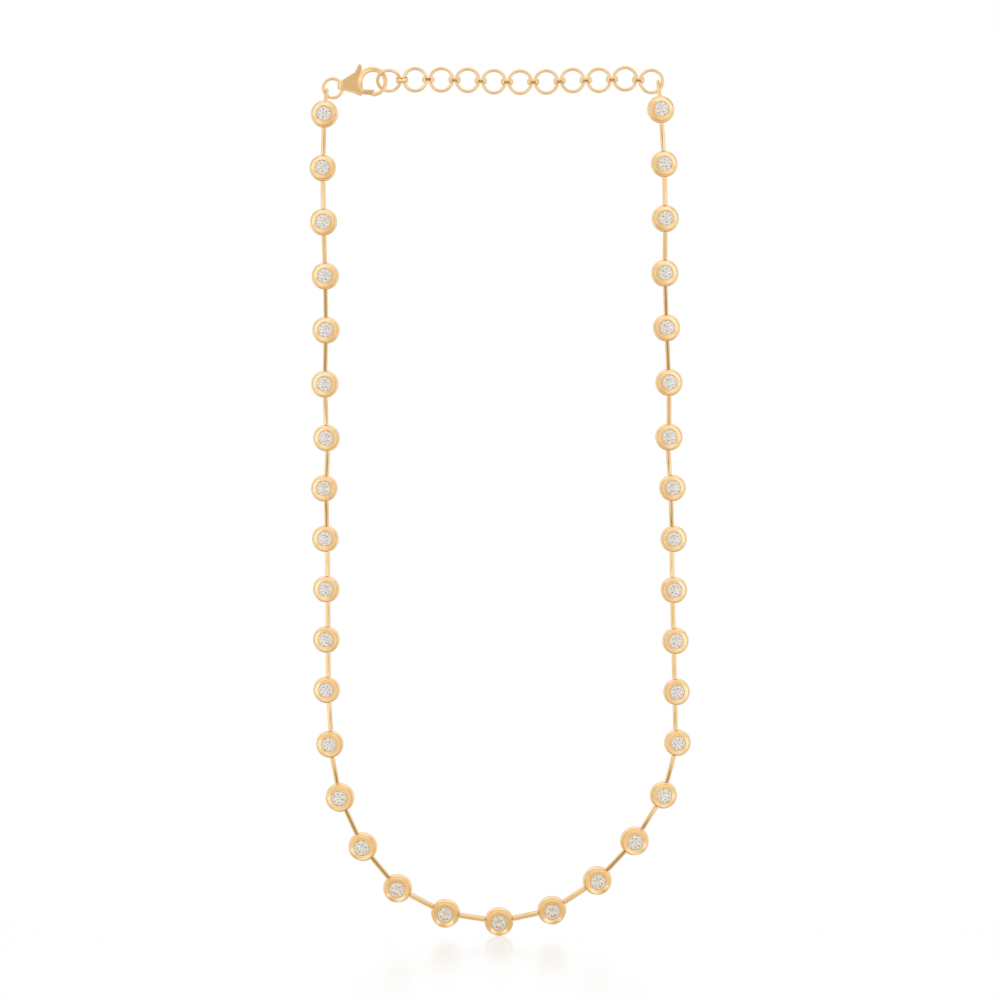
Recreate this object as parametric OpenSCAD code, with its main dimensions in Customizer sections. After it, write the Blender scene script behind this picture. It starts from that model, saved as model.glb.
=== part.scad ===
// Bezel-set bar station necklace, hanging open by its back strand.
// X runs across and Z is up. The stones face -Y, and Y = 0 is the plane of the bars.
// The origin is the middle of the back strand. All lengths are in millimetres.

/* [Preview] */
// Sub-part to draw, or all of them

/* [Settings] */
// Widest diameter of the three setting sizes: small, medium, large
setting_sizes = [5.62, 5.75, 6.05]; // [4:0.01:8]
// Radius of the rounded rim at the back of a setting
rim_round = 0.78; // [0.4:0.01:1]
// Diameter of the light hole behind the stone
back_hole_d = 2.6; // [1:0.1:3]
// Diameter of the cup that rises from the rim
cup_d = 4.78; // [3:0.01:5]
// Height of the cup's straight wall over the plane of the bars
cup_h = 1.80; // [1:0.01:2.5]
// Diameter at the top edge of the front ring
crown_d = 4.40; // [3:0.01:5]
// Height of the top edge of the front ring
crown_h = 2.00; // [1:0.01:2.5]
// Visible diameter of the stone inside the lip
lip_d = 3.00; // [2:0.01:4]
// Height of the lip over the plane of the bars
lip_h = 1.63; // [1:0.01:2.5]
// Tip of the front stations' faces toward the floor, in degrees
front_tip = 7; // [0:1:20]
// Roll of the side strands' faces away from the middle, in degrees
side_roll = 4; // [0:1:15]

/* [Stones] */
// Diameter of a stone at its girdle
stone_d = 3.20; // [2:0.01:4]
// Table diameter as a part of the girdle's
table_ratio = 0.57; // [0.5:0.01:0.65]
// Radius where star and kite facets meet, as a part of the girdle's
star_ratio = 0.77; // [0.7:0.01:0.9]
// Radius where the lower girdle facets end, as a part of the girdle's
lower_ratio = 0.24; // [0.15:0.01:0.5]
// Height of the crown over the girdle
stone_crown = 0.50; // [0.3:0.01:0.7]
// Thickness of the girdle
stone_girdle = 0.10; // [0.05:0.01:0.2]
// Depth of the pavilion under the girdle
stone_pavilion = 1.38; // [1:0.01:1.6]
// Height of the girdle's upper edge over the plane of the bars
stone_seat_h = 1.40; // [1:0.01:2]

/* [Bars] */
// Width across the flats of a bar
bar_w = 1.00; // [0.6:0.05:1.5]
// Chamfer along a bar's four long edges
bar_chamfer = 0.24; // [0.05:0.01:0.4]
// Length of the full section of the back, the short and the front bars
bar_body = [5.35, 4.75, 5.10]; // [3:0.05:7]
// Distance between the eyes of the back, the short and the front bars
bar_eyes = [6.88, 6.13, 6.88]; // [4:0.01:8]
// Outside diameter of the eye at each end of a bar
eye_d = 1.10; // [0.8:0.05:1.5]
// Thickness of the eye
eye_t = 0.45; // [0.3:0.05:0.8]
// Bore of the eye
eye_bore = 0.62; // [0.45:0.01:0.8]
// Diameter of the cross pin in a setting's slot
pin_d = 0.40; // [0.3:0.01:0.6]
// Distance of the cross pin from the middle of its setting
pin_r = 2.25; // [1.8:0.01:2.6]
// Distance of the cross pin behind the plane of the bars
pin_back = 0.10; // [0:0.01:0.4]
// Width of the slot that takes the eye
slot_w = 0.85; // [0.6:0.01:1.2]

/* [End loops, clasp and extender] */
// Wire diameter of the two soldered end loops
loop_wire = 0.52; // [0.4:0.01:0.8]
// Distance between the legs of an end loop, on centres
loop_gap = 1.44; // [1:0.01:2]
// Turn of an end loop out of the side view, in degrees
loop_turn = 22; // [0:1:45]
// Lean of the two end loops toward the middle of the necklace, in degrees
loop_lean = [4, 1.5]; // [0:0.5:10]
// Height of the end loops over the middle of their settings
loop_tops = [5.45, 6.30]; // [4:0.05:8]
// Wire diameter of the jump ring
jump_wire = 0.70; // [0.5:0.01:1]
// Diameter of the jump ring on its wire's centre
jump_d = 4.00; // [3:0.05:6]
// Wire diameter of an extender ring
ring_wire = 0.70; // [0.4:0.01:1]
// Diameter of an extender ring on its wire's centre
ring_d = 4.70; // [3:0.01:6]
// Length of the opening inside an extender link
link_open = 2.06; // [1.5:0.01:3]
// Depth of the opening inside an extender link
link_depth = 1.00; // [0.7:0.01:1.5]
// Thickness of an extender link's band
link_band = 0.26; // [0.15:0.01:0.5]
// Width of an extender link at its ends
link_w = 1.14; // [0.8:0.01:1.5]
// Width of an extender link at its waist
link_waist = 0.90; // [0.6:0.01:1.2]
// Outside radius of the clasp's hook
hook_r = 3.14; // [2:0.01:4]
// Width of the hook where it joins the body
hook_w = 0.98; // [0.7:0.01:1.3]
// Thickness of the hook's round bow
hook_bow = 0.86; // [0.6:0.01:1.2]
// Thickness of the clasp's lever
lever_t = 0.80; // [0.5:0.05:1.2]

/* [Hidden] */
$fn = 64;
eps = 0.01;            // overlap of joined solids
gap = 0.05;            // running clearance round the lever
seat_gap = 0.05;       // clearance between a stone and its seat
lip_t = 0.08;          // thickness of the lip's edge
ledge_drop = 0.30;     // slope of the seat, from the girdle to the back hole
slot_play = [0.15, 0.10]; // slot past the eye, along the bar and in front of it
pin_bite = 0.25;       // length of each end of a cross pin in its wall
tang_h = 0.70;         // depth of the flat tang between a bar and its eye
link_chamfer = 0.12;   // chamfer of a link's corners
link_necks = [0.75, 0.35]; // where a link's waist starts and ends, from its middle
clear = 1;             // extra length of a cutting shape
slot_deep = 3.3;       // depth of an eye's slot, out through the back
stone_turn = 37;       // turn from one stone to the next, degrees
gold = [0.87, 0.68, 0.38];
stone_white = [0.90, 0.92, 0.95];

// Sizes used round the chain: index of a setting's diameter, stations 1 to 35.
station_size = [1,0,1,1,1,1,0,0,0,0,0,0,1,2,2,2,2,2,2,2,2,1,0,0,0,0,0,0,1,1,1,1,1,0,1];
station_count = len(station_size);
first_station = [-36.5, -7.0]; // X and Z of the middle of station 1

// Heading of each bar from station to station, degrees up from +X.
bar_heading = [-92,-89,-88,-89,-92,-87,-94,-88,-89,-90,-90,-87,-80,-65,-51,-27,-9,
               12,34,47,57,75,93,91,92,90,91,95,89,93,92,89,91,94];
// Runs of bars: last bar of the run, kind of bar, distance between its pins.
RUN_LAST = 0; RUN_KIND = 1; RUN_PINS = 2;
BACK = 0; SHORT = 1; FRONT = 2;
runs = [[6, BACK, 6.82], [11, SHORT, 6.05], [22, FRONT, 6.90], [28, SHORT, 6.18],
        [34, BACK, 6.95]];
function run_of(bar, r = 0) = bar <= runs[r][RUN_LAST] ? runs[r] : run_of(bar, r + 1);

// The chain is laid out from station 1: pin to pin along each bar, then across a setting.
function along(a) = [cos(a), sin(a)];
function heading(s) = s == 1 ? bar_heading[0]
    : s == station_count ? bar_heading[s - 2]
    : (bar_heading[s - 2] + bar_heading[s - 1]) / 2;
function pin_step(s) = pin_r * (along(heading(s)) + along(heading(s + 1)))
    + run_of(s)[RUN_PINS] * along(bar_heading[s - 1]);
function station(s) = s == 1 ? first_station : station(s - 1) + pin_step(s - 1);
stations = [for (s = [1:station_count]) station(s)];
function tip(a) = front_tip * abs(cos(a)) + side_roll * abs(sin(a));

// Extender: X and Z of each ring's middle, and tilts of rings and links, top edge forward.
ring_first_x = -23.00;
ring_pitch = 5.50;
ring_z = [0, 0.2, 0.2, 0.1, -0.2, -0.3, -0.25, 0.05, 0.1, 0.4, -0.15];
ring_tilt = [32, 16, 0, 0, 0, 0, 0, 0, 0, 0, 0];
link_tilt = [24, 8, 0, 0, 0, 0, 0, 0, 0, 0];
ring_count = len(ring_z);
function ring_at(n) = [ring_first_x + ring_pitch * n, ring_z[n]];

jump_at = [-34.73, -1.59];
hook_at = [-26.40, -0.26];
loop_root = 2.25;        // where an end loop's legs start inside their setting
pivot_at = [-29.20, -1.30];
clasp_bore_r = 0.45;     // channel of the jump ring through the clasp's tail
pivot_pin_d = 0.50;
pivot_pin_l = 2;
lever_hub_d = 1.2;
slot_t = lever_t + 2 * gap;
blank_t = 4;             // thickness of the blank that a flat outline is cut from
clasp_h = 12;            // height that the taper of the clasp's thickness covers
bow_lap = 4;             // run of the bow into the band, degrees
bow_inset = 0.03;        // bow's outer edge inside the band's
gate_box = 8;            // size of the block that trims the lever's end

// Outlines of the clasp in X and Z, and its thickness over X.
tail_outline = [[-33.67, -1.05], [-33.21, -0.15], [-32.56, -0.04], [-29.98, 1.61],
                [-29.00, 1.40], [-28.30, 0.90], [-28.30, -2.62], [-28.74, -3.14],
                [-32.56, -1.97], [-33.60, -1.80]];
clasp_half_t = [[-34.0, 0.75], [-32.56, 0.86], [-29.6, 1.20], [-28.3, 1.15], [-26.2, 0.42],
                [-26.0, 0.42]];
lever_slot = [[-30.00, -2.20], [-30.10, -0.60], [-31.25, 1.00], [-31.25, 3.50], [-28.98, 3.50],
              [-28.98, -0.62], [-28.20, -0.85], [-27.20, -0.85], [-27.20, -4.00], [-29.60, -4.00]];
lever_arm = [[-29.75, -1.50], [-29.35, -2.40], [-28.70, -2.84], [-26.20, -3.16], [-25.20, -2.00],
             [-28.35, -1.86], [-28.75, -1.00]];
lever_fin = [[-29.72, -1.10], [-29.62, 0.60], [-29.94, 1.78], [-29.62, 2.35], [-29.28, 3.10],
             [-29.04, 3.38], [-28.86, 3.10], [-28.74, 2.34], [-29.06, 1.46], [-29.06, -1.10]];
gate_corner = [-26.55, -3.14];   // where the lever's end meets the hook's tip
gate_slope = 56;                 // slope of that meeting face, degrees up from +X
bow_from = -95;                  // arcs of the bow and the band, degrees up from +X
band_from = 88;
band_to = 231;

// Puts children drawn round the origin at station s: X along the chain, -Y toward the front.
module at_station(s) {
    translate([stations[s - 1].x, 0, stations[s - 1].y])
        rotate([0, -heading(s), 0]) rotate([tip(heading(s)), 0, 0]) children();
}

// Turned section of a setting: X is the radius and Y the height toward the front.
module setting_section() {
    rim_c = setting_sizes[0] / 2 - rim_round;
    shoulder_h = sqrt(pow(rim_round, 2) - pow(cup_d / 2 - rim_c, 2));
    seat_r = stone_d / 2 + seat_gap;
    ledge_h = stone_seat_h - stone_girdle - seat_gap;
    translate([rim_c, 0]) circle(rim_round);
    polygon([[back_hole_d / 2, -rim_round], [rim_c, -rim_round],
             [cup_d / 2, shoulder_h], [cup_d / 2, cup_h],
             [crown_d / 2, crown_h], [lip_d / 2, lip_h], [lip_d / 2, lip_h - lip_t],
             [seat_r, stone_seat_h + seat_gap], [seat_r, ledge_h],
             [back_hole_d / 2, ledge_h - ledge_drop]]);
}

// Open slot for a bar's eye, toward +X, and the pin across it.
module eye_slot() {
    from = pin_r - eye_d / 2 - slot_play.x;
    translate([from, pin_back - eye_d / 2 - slot_play.y, -slot_w / 2])
        cube([setting_sizes[2] / 2 + clear - from, slot_deep, slot_w]);
}
module cross_pin() {
    translate([pin_r, pin_back, 0])
        cylinder(d = pin_d, h = slot_w + 2 * pin_bite, center = true);
}

// Wire loop soldered on a setting, standing toward +X with its top at that height.
module end_loop(top, turn, lean) {
    bend = top - loop_wire / 2 - loop_gap / 2;
    rotate([0, lean, 0]) rotate([turn, 0, 0]) {
        for (side = [-1, 1]) translate([loop_root, side * loop_gap / 2, 0])
            rotate([0, 90, 0]) cylinder(d = loop_wire, h = bend - loop_root);
        translate([bend, 0, 0]) rotate([0, 0, -90])
            rotate_extrude(angle = 180) translate([loop_gap / 2, 0]) circle(d = loop_wire);
    }
}

module setting(s) {
    size = setting_sizes[station_size[s - 1]] / setting_sizes[0];
    ends = s == 1 ? [0] : s == station_count ? [180] : [0, 180];
    color(gold) at_station(s) {
        difference() {
            scale(size) rotate([90, 0, 0]) rotate_extrude() setting_section();
            for (a = ends) rotate([0, a, 0]) eye_slot();
        }
        for (a = ends) rotate([0, a, 0]) cross_pin();
        if (s == 1) rotate([0, 180, 0]) end_loop(loop_tops[0], loop_turn, loop_lean[0]);
        if (s == station_count) end_loop(loop_tops[1], -loop_turn, -loop_lean[1]);
    }
}

// Round brilliant, table toward -Y. Rings of corners: table, star, girdle top, girdle
// bottom, lower girdle, culet. Corners of the star and lower rings sit between the mains.
module brilliant() {
    r = stone_d / 2;
    half = 22.5;
    top = stone_seat_h;
    bottom = top - stone_girdle;
    star_h = stone_crown * (1 - star_ratio * cos(half)) / (1 - table_ratio);
    lower_h = stone_pavilion * (1 - lower_ratio * cos(half));
    function corner(rad, a, h) = [rad * cos(a), -h, rad * sin(a)];
    corners = concat(
        [for (k = [0:7]) corner(r * table_ratio, 45 * k, top + stone_crown)],
        [for (k = [0:7]) corner(r * star_ratio, 45 * k + half, top + star_h)],
        [for (k = [0:15]) corner(r, half * k, top)],
        [for (k = [0:15]) corner(r, half * k, bottom)],
        [for (k = [0:7]) corner(r * lower_ratio, 45 * k + half, bottom - lower_h)],
        [[0, -(bottom - stone_pavilion), 0]]);
    TABLE = 0; STAR = 8; UPPER = 16; UNDER = 32; LOWER = 48; CULET = 56;
    function next8(k) = (k + 1) % 8;
    function next16(k) = (k + 1) % 16;
    faces = concat(
        [[for (k = [0:7]) TABLE + k]],
        [for (k = [0:7]) [TABLE + next8(k), TABLE + k, STAR + k]],
        [for (k = [0:7]) [TABLE + next8(k), STAR + k, UPPER + next16(2 * k + 1), STAR + next8(k)]],
        [for (k = [0:7]) [STAR + k, UPPER + 2 * k, UPPER + 2 * k + 1]],
        [for (k = [0:7]) [STAR + k, UPPER + 2 * k + 1, UPPER + next16(2 * k + 1)]],
        [for (k = [0:15]) [UPPER + next16(k), UPPER + k, UNDER + k, UNDER + next16(k)]],
        [for (k = [0:7]) [UNDER + 2 * k + 1, UNDER + 2 * k, LOWER + k]],
        [for (k = [0:7]) [UNDER + next16(2 * k + 1), UNDER + 2 * k + 1, LOWER + k]],
        [for (k = [0:7]) [UNDER + next16(2 * k + 1), LOWER + k, CULET, LOWER + next8(k)]]);
    polyhedron(corners, faces);
}

module stones() {
    color(stone_white) for (s = [1:station_count])
        at_station(s) scale(setting_sizes[station_size[s - 1]] / setting_sizes[0])
            rotate([0, (s * stone_turn) % 45, 0]) brilliant();
}

// One bar along X, its middle at the origin.
module bar(kind) {
    h = bar_w / 2;
    c = h - bar_chamfer;
    rotate([90, 0, 90]) linear_extrude(bar_body[kind], center = true)
        polygon([[h, -c], [h, c], [c, h], [-c, h], [-h, c], [-h, -c], [-c, -h], [c, -h]]);
    for (a = [0, 180]) rotate([0, a, 0]) difference() {
        union() {
            translate([bar_eyes[kind] / 2, pin_back, 0])
                cylinder(d = eye_d, h = eye_t, center = true);
            translate([bar_body[kind] / 2 - eps, pin_back - tang_h / 2, -eye_t / 2])
                cube([(bar_eyes[kind] - bar_body[kind]) / 2, tang_h, eye_t]);
        }
        translate([bar_eyes[kind] / 2, pin_back, 0])
            cylinder(d = eye_bore, h = eye_t + clear, center = true);
    }
}

module bars(first, last) {
    color(gold) for (b = [first:last]) {
        from = stations[b - 1] + pin_r * along(heading(b));
        middle = from + run_of(b)[RUN_PINS] / 2 * along(bar_heading[b - 1]);
        translate([middle.x, 0, middle.y]) rotate([0, -bar_heading[b - 1], 0])
            rotate([(tip(heading(b)) + tip(heading(b + 1))) / 2, 0, 0]) bar(run_of(b)[RUN_KIND]);
    }
}

// Wire ring in the XZ plane.
module wire_ring(d, wire) {
    rotate([90, 0, 0]) rotate_extrude() translate([d / 2, 0]) circle(d = wire);
}

// Flat outline in X and Z, given a thickness along Y.
module plate(outline, t) {
    rotate([90, 0, 0]) linear_extrude(t, center = true) polygon(outline);
}

// Half space on the lever's side of the face where it meets the hook, moved out by d.
module gate_side(d) {
    translate([gate_corner.x, 0, gate_corner.y]) rotate([0, -gate_slope, 0])
        translate([-gate_box / 2, -gate_box / 2, d]) cube(gate_box);
}

// Arc round the hook's middle, its section's outer edge on the hook's outside radius.
module hook_arc(from, to, w) {
    translate([hook_at.x, 0, hook_at.y]) rotate([90, 0, 0]) rotate([0, 0, from])
        rotate_extrude(angle = to - from) translate([hook_r - w / 2, 0]) children();
}

module clasp_taper() {
    linear_extrude(clasp_h, center = true) polygon(concat(clasp_half_t,
        [for (i = [len(clasp_half_t) - 1:-1:0]) [clasp_half_t[i].x, -clasp_half_t[i].y]]));
}

module clasp_body() {
    inside = hook_r - hook_w;
    color(gold) {
        difference() {
            union() {
                intersection() {
                    union() {
                        plate(tail_outline, blank_t);
                        hook_arc(band_from, band_to, hook_w)
                            square([hook_w, blank_t], center = true);
                    }
                    clasp_taper();
                }
                difference() {
                    hook_arc(bow_from, band_from + bow_lap, hook_bow + 2 * bow_inset)
                        circle(d = hook_bow);
                    gate_side(-gap);
                }
            }
            translate([hook_at.x, 0, hook_at.y]) rotate([90, 0, 0])
                cylinder(r = inside + eps, h = blank_t + clear, center = true);
            plate(lever_slot, slot_t);
            translate([jump_at.x, 0, jump_at.y]) wire_ring(jump_d, 2 * clasp_bore_r);
        }
        translate([pivot_at.x, 0, pivot_at.y]) rotate([90, 0, 0])
            cylinder(d = pivot_pin_d, h = pivot_pin_l, center = true);
    }
}

module clasp_lever() {
    color(gold) difference() {
        union() {
            intersection() {
                plate(lever_arm, lever_t);
                gate_side(gap);
            }
            plate(lever_fin, lever_t);
            translate([pivot_at.x, 0, pivot_at.y]) rotate([90, 0, 0])
                cylinder(d = lever_hub_d, h = lever_t, center = true);
        }
        translate([pivot_at.x, 0, pivot_at.y]) rotate([90, 0, 0])
            cylinder(d = pivot_pin_d + 2 * gap, h = lever_t + clear, center = true);
    }
}

module jump_ring() {
    color(gold) translate([jump_at.x, 0, jump_at.y]) wire_ring(jump_d, jump_wire);
}

module extender_rings() {
    color(gold) for (n = [0:ring_count - 1])
        translate([ring_at(n).x, 0, ring_at(n).y]) rotate([ring_tilt[n], 0, 0])
            wire_ring(ring_d, ring_wire);
}

// Long ring of flat band, its length along X and its width along Z.
module band_link() {
    end_r = link_depth / 2;
    straight = link_open / 2 - end_r;
    outer = link_open / 2 + link_band;
    ends = link_w / 2;
    quarter = [[outer, ends - link_chamfer], [outer - link_chamfer, ends], [link_necks[0], ends],
               [link_necks[1], link_waist / 2]];
    module track(r) {
        for (end = [-1, 1]) translate([end * straight, 0]) circle(r);
        square([2 * straight, 2 * r], center = true);
    }
    intersection() {
        difference() {
            linear_extrude(link_w, center = true) track(end_r + link_band);
            linear_extrude(link_w + clear, center = true) track(end_r);
        }
        plate(concat(quarter, [for (i = [3:-1:0]) [-quarter[i].x, quarter[i].y]],
                     [for (p = quarter) -p],
                     [for (i = [3:-1:0]) [quarter[i].x, -quarter[i].y]]), blank_t);
    }
}

module extender_links() {
    color(gold) for (n = [0:ring_count - 2]) {
        middle = (ring_at(n) + ring_at(n + 1)) / 2;
        run = ring_at(n + 1) - ring_at(n);
        translate([middle.x, 0, middle.y]) rotate([0, -atan2(run.y, run.x), 0])
            rotate([link_tilt[n], 0, 0]) band_link();
    }
}

module setting_01() setting(1);
module setting_02() setting(2);
module setting_03() setting(3);
module setting_04() setting(4);
module setting_05() setting(5);
module setting_06() setting(6);
module setting_07() setting(7);
module setting_08() setting(8);
module setting_09() setting(9);
module setting_10() setting(10);
module setting_11() setting(11);
module setting_12() setting(12);
module setting_13() setting(13);
module setting_14() setting(14);
module setting_15() setting(15);
module setting_16() setting(16);
module setting_17() setting(17);
module setting_18() setting(18);
module setting_19() setting(19);
module setting_20() setting(20);
module setting_21() setting(21);
module setting_22() setting(22);
module setting_23() setting(23);
module setting_24() setting(24);
module setting_25() setting(25);
module setting_26() setting(26);
module setting_27() setting(27);
module setting_28() setting(28);
module setting_29() setting(29);
module setting_30() setting(30);
module setting_31() setting(31);
module setting_32() setting(32);
module setting_33() setting(33);
module setting_34() setting(34);
module setting_35() setting(35);
module bars_left() bars(1, 17);
module bars_right() bars(18, 34);

setting_01();
setting_02();
setting_03();
setting_04();
setting_05();
setting_06();
setting_07();
setting_08();
setting_09();
setting_10();
setting_11();
setting_12();
setting_13();
setting_14();
setting_15();
setting_16();
setting_17();
setting_18();
setting_19();
setting_20();
setting_21();
setting_22();
setting_23();
setting_24();
setting_25();
setting_26();
setting_27();
setting_28();
setting_29();
setting_30();
setting_31();
setting_32();
setting_33();
setting_34();
setting_35();
stones();
bars_left();
bars_right();
clasp_body();
clasp_lever();
jump_ring();
extender_rings();
extender_links();
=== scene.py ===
"""Bezel-set bar station necklace: the finish of every piece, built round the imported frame.

X runs across, Z is up and the stones face -Y. Lengths are in metres.
"""
import math

import bmesh
import bpy
from bpy.props import FloatProperty, FloatVectorProperty, PointerProperty
from mathutils import Matrix, Vector, noise


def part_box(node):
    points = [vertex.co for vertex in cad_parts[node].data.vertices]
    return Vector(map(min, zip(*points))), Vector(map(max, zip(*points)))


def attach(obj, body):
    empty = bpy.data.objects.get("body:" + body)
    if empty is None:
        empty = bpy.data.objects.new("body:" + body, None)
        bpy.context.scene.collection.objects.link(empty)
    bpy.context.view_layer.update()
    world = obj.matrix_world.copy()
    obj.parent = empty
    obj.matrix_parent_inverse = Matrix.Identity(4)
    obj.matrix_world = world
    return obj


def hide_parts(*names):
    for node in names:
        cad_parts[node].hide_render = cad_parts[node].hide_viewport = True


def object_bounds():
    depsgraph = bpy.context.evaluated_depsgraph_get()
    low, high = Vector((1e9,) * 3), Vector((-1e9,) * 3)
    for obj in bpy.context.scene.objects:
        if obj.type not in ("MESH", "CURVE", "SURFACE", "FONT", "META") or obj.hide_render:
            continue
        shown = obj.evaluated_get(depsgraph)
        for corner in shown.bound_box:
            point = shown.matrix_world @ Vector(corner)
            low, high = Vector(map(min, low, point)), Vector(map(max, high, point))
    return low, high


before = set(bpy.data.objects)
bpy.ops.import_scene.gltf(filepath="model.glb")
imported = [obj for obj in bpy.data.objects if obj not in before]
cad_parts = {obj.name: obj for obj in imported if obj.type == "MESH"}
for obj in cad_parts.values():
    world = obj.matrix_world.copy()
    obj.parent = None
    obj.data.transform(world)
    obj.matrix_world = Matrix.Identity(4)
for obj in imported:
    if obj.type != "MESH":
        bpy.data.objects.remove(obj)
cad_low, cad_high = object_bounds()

bl_info = {
    "name": "Bar Station Necklace",
    "version": (1, 0, 0),
    "blender": (4, 5, 0),
    "location": "3D View > Sidebar > Necklace",
    "description": "Builds the settings, bars, clasp and extender of a gold bar station necklace",
    "category": "Add Mesh",
}

MM = 0.001
STATION_COUNT = 35
LAST_LEFT_BAR = 17
# Bars that sit inside the line of their settings, counted from each end.
SHORT_BARS = range(7, 13)
# Roll of each bar away from the middle in degrees, from the back strand to the front. The other
# side is its mirror image.
BAR_ROLL = (4, 6, 3, -1, 0, 3, 3, 0, 7, 6, 6, 5, -2, -2, -2, 13, 14)
RING_COUNT = 11

Y_AXIS = (0, 1, 0)
Z_AXIS = (0, 0, 1)
# Points closer than this are joined.
WELD = 0.001 * MM
# Steps through the noise from one seed to the next.
SEED_STRIDES = (3.7, 1.9, 5.3)
ROUND_STEPS = 96
WIRE_SIDES = 20


def length(name, description, millimetres, least=0):
    """A size that the user may change, in the scene's length unit."""
    size = {"default": millimetres * MM, "min": least, "precision": 5, "unit": "LENGTH"}
    return FloatProperty(name=name, description=description, **size)


def slope(name, description, degrees):
    """An angle that the user may change."""
    return FloatProperty(
        name=name, description=description, default=math.radians(degrees), subtype="ANGLE"
    )


def amount(name, description, default):
    """A share from 0 to 1."""
    return FloatProperty(
        name=name, description=description, default=default, min=0, max=1, subtype="FACTOR"
    )


def colour(name, description, default):
    """A colour in linear red, green and blue."""
    return FloatVectorProperty(
        name=name, description=description, default=default, min=0, max=1, subtype="COLOR"
    )


class BezelSizes(bpy.types.PropertyGroup):
    """Sizes of the round settings."""

    small_d: length("Small", "Widest diameter of a small setting", 5.62)
    medium_d: length("Medium", "Widest diameter of a medium setting", 5.75)
    large_d: length("Large", "Widest diameter of a large setting", 6.08)
    rim_round: length("Rim radius", "Radius of the rounded rim", 0.78)
    cup_d: length("Cup", "Diameter of the cup that rises from the rim", 4.78)
    cup_h: length("Cup height", "Height of the cup's straight wall", 1.80)
    crown_d: length("Crown", "Diameter at the top edge of the front ring", 4.50)
    crown_h: length("Crown height", "Height of the top edge of the front ring", 2.00)
    crease: length("Crease", "Depth of the worn line between rim and cup", 0.03)
    lip_d: length("Lip", "Inside diameter of the lip over the stone", 2.86)
    lip_h: length("Lip height", "Height of the lip over the plane of the bars", 1.78)
    seat_d: length("Seat", "Diameter of the stone's seat", 3.30)
    seat_h: length("Seat height", "Height of the stone's widest edge", 1.45)
    hole_d: length("Light hole", "Diameter of the hole behind the stone", 2.60)
    slot_w: length("Slot", "Width of the slot that takes a bar's eye", 0.85)
    pin_r: length("Pin place", "Distance of a cross pin from the middle", 2.25)
    pin_d: length("Pin", "Diameter of a cross pin", 0.40)
    pin_back: length("Pin depth", "Distance of a pin behind the plane of the bars", 0.10)
    loop_wire: length("Loop wire", "Wire diameter of the soldered end loops", 0.52)
    loop_gap: length("Loop gap", "Distance between an end loop's legs", 1.44)
    left_loop_top: length("Left loop", "Height of the left loop over its setting", 5.45)
    right_loop_top: length("Right loop", "Height of the right loop over its setting", 6.30)
    side_roll: slope("Side roll", "Roll of the side strands' faces away from the middle", 4)
    front_tip: slope("Front tip", "Tip of the front stations' faces toward the floor", 7)


class BarSizes(bpy.types.PropertyGroup):
    """Sizes of the straight bars and their eyes."""

    width: length("Width", "Width across the flats", 1.00)
    chamfer: length("Chamfer", "Chamfer along the four long edges", 0.24)
    softening: length("Softening", "Rounding of every edge by the last polish", 0.035)
    end_gap: length("End gap", "Room left between a bar and the rims beside it", 0.025)
    eye_d: length("Eye", "Outside diameter of the eye at each end", 0.84)
    eye_t: length("Eye thickness", "Thickness of the eye", 0.45)
    eye_bore: length("Bore", "Bore of the eye", 0.52)
    tang_h: length("Tang", "Depth of the flat tang behind the eye", 0.70)
    inset: length("Inset", "How far the short bars sit inside the middles of their settings", 0.36)


class ExtenderSizes(bpy.types.PropertyGroup):
    """Sizes of the round rings and the folded band links."""

    ring_d: length("Ring", "Diameter of a ring on its wire's centre", 4.70)
    ring_wire: length("Ring wire", "Wire diameter of a ring", 0.70)
    jump_d: length("Jump ring", "Diameter of the jump ring on its wire's centre", 4.00)
    jump_wire: length("Jump wire", "Wire diameter of the jump ring", 0.70)
    link_open: length("Opening", "Length of the opening inside a link", 2.06)
    link_depth: length("Depth", "Depth of the opening inside a link", 1.00)
    link_band: length("Band", "Thickness of a link's band", 0.26)
    link_w: length("Width", "Width of a link at its ends", 1.14)
    link_waist: length("Waist", "Width of a link at its waist", 0.84)
    link_corner: length("Corner", "Radius of a link's four corners", 0.30)
    neck_end: length("Neck end", "Place along a link where its full width starts", 0.68)
    neck_start: length("Neck start", "Place along a link where its waist ends", 0.42)


class ClaspSizes(bpy.types.PropertyGroup):
    """Sizes of the cast clasp."""

    tail_t: length("Tail", "Half the body's thickness at its narrow end", 0.88)
    ridge_t: length("Ridge", "Half the body's thickness beside the hook's ridge", 1.13)
    knuckle_r: length("Knuckle", "Radius of the rounded knuckle on the jump ring", 0.82)
    bore_r: length("Bore", "Radius of the channel for the jump ring", 0.45)
    chamfer: length("Chamfer", "Chamfer along the body's lower edges", 0.34)
    lever_t: length("Lever", "Thickness of the lever", 0.80)
    voxel: length("Grain", "Finest detail of the casting", 0.045)


class GoldLook(bpy.types.PropertyGroup):
    """Colour and polish of the gold."""

    light: colour("Gold", "Colour of polished gold", (1.0, 0.75, 0.43))
    deep: colour("Deep gold", "Colour where the alloy is a little redder", (0.97, 0.68, 0.35))
    dull: colour("Dull gold", "Colour of the clasp's unpolished faces", (0.80, 0.54, 0.25))
    polish: amount("Polish", "Roughness of the polished faces", 0.07)
    satin: amount("Satin", "Roughness of the clasp's brushed faces", 0.34)
    wear: amount("Wear", "Strength of the hairline scratches", 0.35)
    ripple: length("Ripple", "Depth of the hand-finished ripple", 0.004)
    uneven: length("Unevenness", "How far the hand-set metal strays from a true turning", 0.012)


class StoneLook(bpy.types.PropertyGroup):
    """Look of the brilliants."""

    tint: colour("Tint", "Colour of the stones", (0.99, 0.965, 0.93))
    ior: FloatProperty(name="IOR", description="Refraction of the stones", default=2.42, min=1)


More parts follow.
